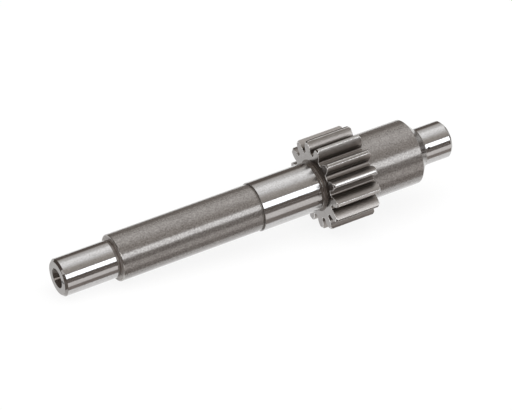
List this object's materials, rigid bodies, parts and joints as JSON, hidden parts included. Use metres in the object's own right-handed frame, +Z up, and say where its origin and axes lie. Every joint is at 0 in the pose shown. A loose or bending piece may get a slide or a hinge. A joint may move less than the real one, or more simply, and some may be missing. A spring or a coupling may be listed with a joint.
{
  "type": "pinion shaft",
  "caption": "Steel pinion shaft: ground journals, a long turned shank, a ground seat beside a straight-toothed pinion, and a collar with a cone behind it.",
  "frame": {"origin": "under the middle of the shaft's length, on the surface that it lies on", "axes": "+X along the surface towards the short journal behind the pinion, +Z up. The shaft's own axis rises by 5.4 degrees towards +X, because it lies on the end of its long journal and on two teeth"},
  "size_m": [0.2278, 0.049, 0.0502],
  "materials": {
    "steel": "ground journals and seat, fine-turned shank and collar, hobbed teeth"
  },
  "bodies": {
    "root": {"pinion_shaft": "steel"}
  },
  "joints": []
}
